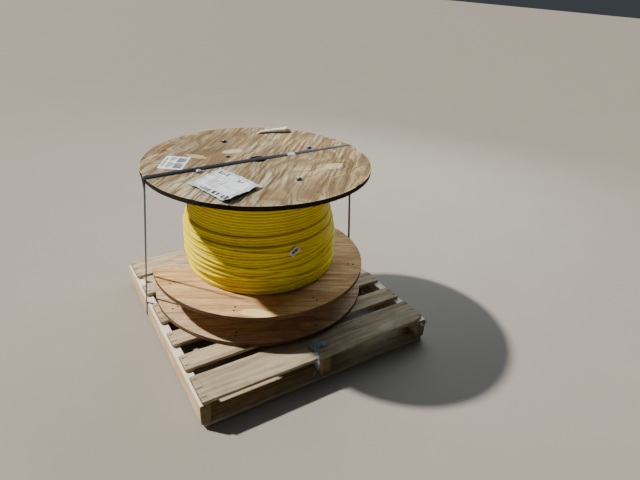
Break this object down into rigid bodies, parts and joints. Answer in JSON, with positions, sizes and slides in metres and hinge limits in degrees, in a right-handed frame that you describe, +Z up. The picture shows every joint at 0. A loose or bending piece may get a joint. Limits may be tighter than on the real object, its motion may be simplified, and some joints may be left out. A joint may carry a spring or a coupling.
{
  "type": "wooden cable drum",
  "caption": "Three-flange plywood cable reel wound with yellow cable, standing on end and strapped to a low wooden pallet.",
  "frame": {"origin": "on the floor, at the centre of the outline in plan", "axes": "+Z up along the reel's axis, +Y along the stringers from the front edge to the back, +X along the deck boards to the right"},
  "size_m": [1.0004, 1.026, 0.7195],
  "materials": {
    "weathered_plywood": "weathered grey-brown softwood plywood, dark sawn edge",
    "plywood": "fresh softwood plywood with visible plies at the edge",
    "pallet_wood": "rough-sawn softwood, slightly dirty",
    "cable_jacket": "yellow extruded jacket, satin",
    "strap_steel": "blued steel band, slate grey",
    "zinc_steel": "dull zinc",
    "clear_film": "crumpled clear film over white paper"
  },
  "bodies": {
    "root": {"top_flange": "weathered_plywood", "middle_flange": "plywood", "bottom_flange": "plywood", "winding_barrel": "plywood", "chamber_barrel": "plywood", "cable_winding": "cable_jacket", "tie_bolts": "zinc_steel", "tie_washers": "zinc_steel", "tie_nuts": "zinc_steel", "strap": "strap_steel", "strap_seal": "zinc_steel", "document_pouch": "clear_film", "stringer_left": "pallet_wood", "stringer_middle": "pallet_wood", "stringer_right": "pallet_wood", "deck_board_1": "pallet_wood", "deck_board_2": "pallet_wood", "deck_board_3": "pallet_wood", "deck_board_4": "pallet_wood", "deck_board_5": "pallet_wood", "deck_board_6": "pallet_wood", "bottom_board_1": "pallet_wood", "bottom_board_2": "pallet_wood", "bottom_board_3": "pallet_wood"}
  },
  "joints": []
}
